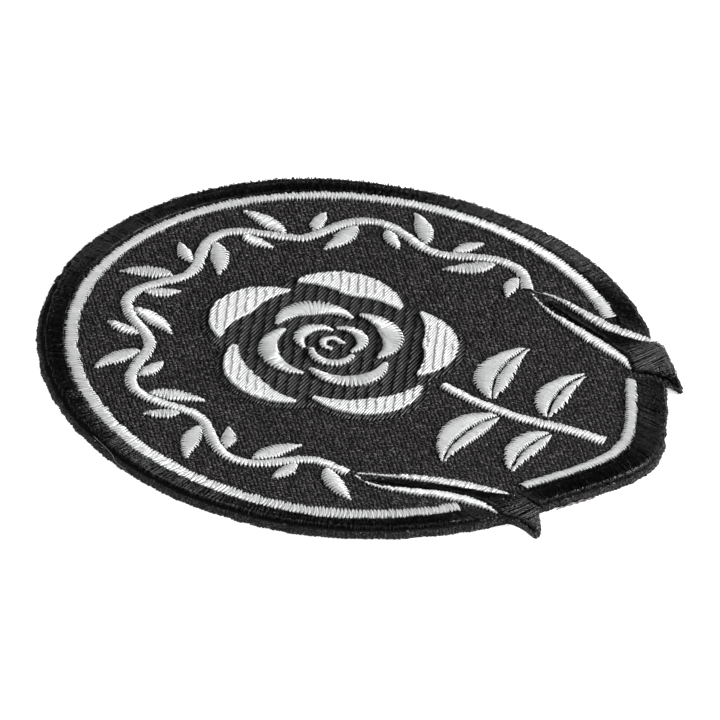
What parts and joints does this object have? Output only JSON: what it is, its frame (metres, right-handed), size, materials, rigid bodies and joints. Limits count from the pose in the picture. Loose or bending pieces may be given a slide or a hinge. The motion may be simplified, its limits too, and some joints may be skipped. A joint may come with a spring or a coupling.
{
  "type": "embroidered clothing patch",
  "caption": "Round embroidered clothing patch with a lobed foot, black satin border, white ring, rose and leafy vine on black twill; sewn or heat-sealed on by its flat back.",
  "frame": {"origin": "middle of the round part, on the flat back face", "axes": "+Z out of the embroidered face, +Y towards the top of the design, +X to its right as the wearer's viewer sees it"},
  "size_m": [0.0754, 0.0795, 0.0016],
  "materials": {
    "clear_film": "clear heat-seal film, slightly milky",
    "black_twill": "fine black polyester twill with a faint sheen",
    "black_satin": "black rayon satin stitch, softly glossy along the threads",
    "black_fill": "black fill stitch in even rows",
    "white_thread": "white rayon thread with a soft sheen"
  },
  "bodies": {
    "root": {"backing_film": "clear_film", "ground_twill": "black_twill", "ring_border": "black_satin", "lobe_border": "black_satin", "white_ring": "white_thread", "lobe_line": "white_thread", "leaf_tip_left": "black_satin", "leaf_tip_right": "black_satin", "long_leaf_left_outer": "white_thread", "long_leaf_left_inner": "white_thread", "long_leaf_right_outer": "white_thread", "long_leaf_right_inner": "white_thread", "rose_fill": "black_fill", "rose_heart": "white_thread", "stem": "white_thread", "vine": "white_thread", "petal_1": "white_thread", "petal_2": "white_thread", "petal_3": "white_thread", "petal_4": "white_thread", "petal_5": "white_thread", "petal_6": "white_thread", "petal_7": "white_thread", "petal_8": "white_thread", "petal_9": "white_thread", "petal_10": "white_thread", "petal_11": "white_thread", "petal_12": "white_thread", "stem_leaf_1_upper": "white_thread", "stem_leaf_2_upper": "white_thread", "stem_leaf_3_upper": "white_thread", "stem_leaf_4_upper": "white_thread", "stem_leaf_1_lower": "white_thread", "stem_leaf_2_lower": "white_thread", "stem_leaf_3_lower": "white_thread", "stem_leaf_4_lower": "white_thread", "vine_leaf_1": "white_thread", "vine_leaf_2": "white_thread", "vine_leaf_3": "white_thread", "vine_leaf_4": "white_thread", "vine_leaf_5": "white_thread", "vine_leaf_6": "white_thread", "vine_leaf_7": "white_thread", "vine_leaf_8": "white_thread", "vine_leaf_9": "white_thread", "vine_leaf_10": "white_thread", "vine_leaf_11": "white_thread", "vine_leaf_12": "white_thread", "vine_bud_1": "white_thread", "vine_bud_2": "white_thread", "vine_bud_3": "white_thread", "vine_bud_4": "white_thread", "vine_bud_5": "white_thread", "vine_bud_6": "white_thread", "vine_bud_7": "white_thread", "vine_bud_8": "white_thread", "vine_bud_9": "white_thread", "vine_bud_10": "white_thread", "vine_bud_11": "white_thread", "vine_bud_12": "white_thread"}
  },
  "joints": []
}
